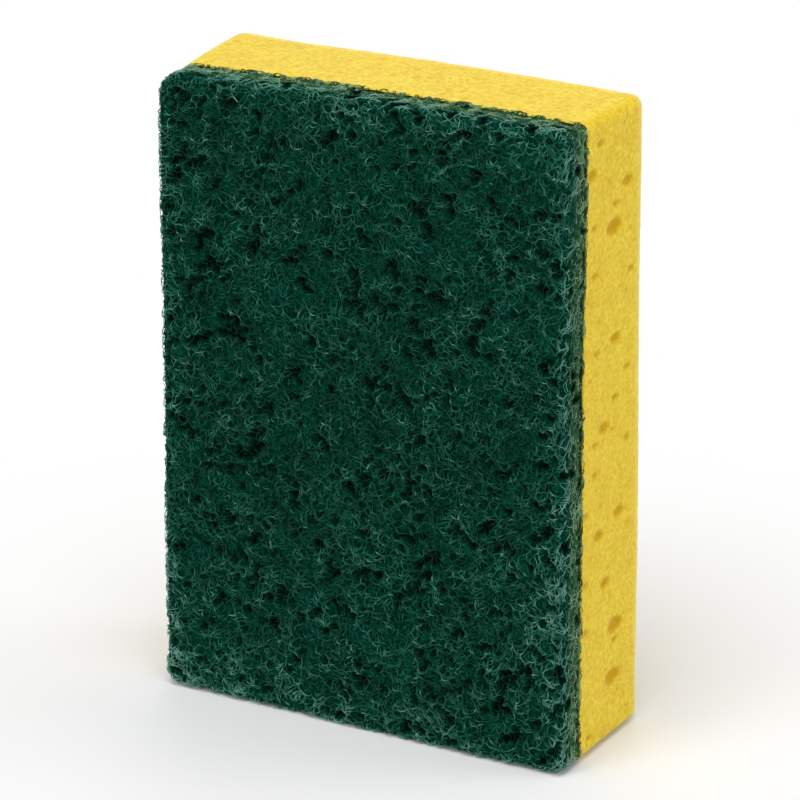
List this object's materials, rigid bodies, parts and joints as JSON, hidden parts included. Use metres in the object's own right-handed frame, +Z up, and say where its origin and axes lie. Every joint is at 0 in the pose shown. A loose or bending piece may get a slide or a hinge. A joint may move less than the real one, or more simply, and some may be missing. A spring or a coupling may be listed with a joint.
{
  "type": "cleaning sponge",
  "caption": "Two-layer cleaning sponge: a porous cellulose block with a fibrous scouring pad bonded to one broad face.",
  "frame": {"origin": "centre of the short end that the sponge stands on", "axes": "+Z up along the length; X across the width; -Y out of the scouring face and +Y out of the open sponge face"},
  "size_m": [0.077, 0.027, 0.11],
  "materials": {
    "cellulose": "open-celled cellulose sponge, yellow, matt",
    "scouring_web": "resin-coated non-woven fibre web, dark green, slightly glossy strands"
  },
  "bodies": {
    "root": {"sponge_block": "cellulose", "scouring_pad": "scouring_web"}
  },
  "joints": []
}
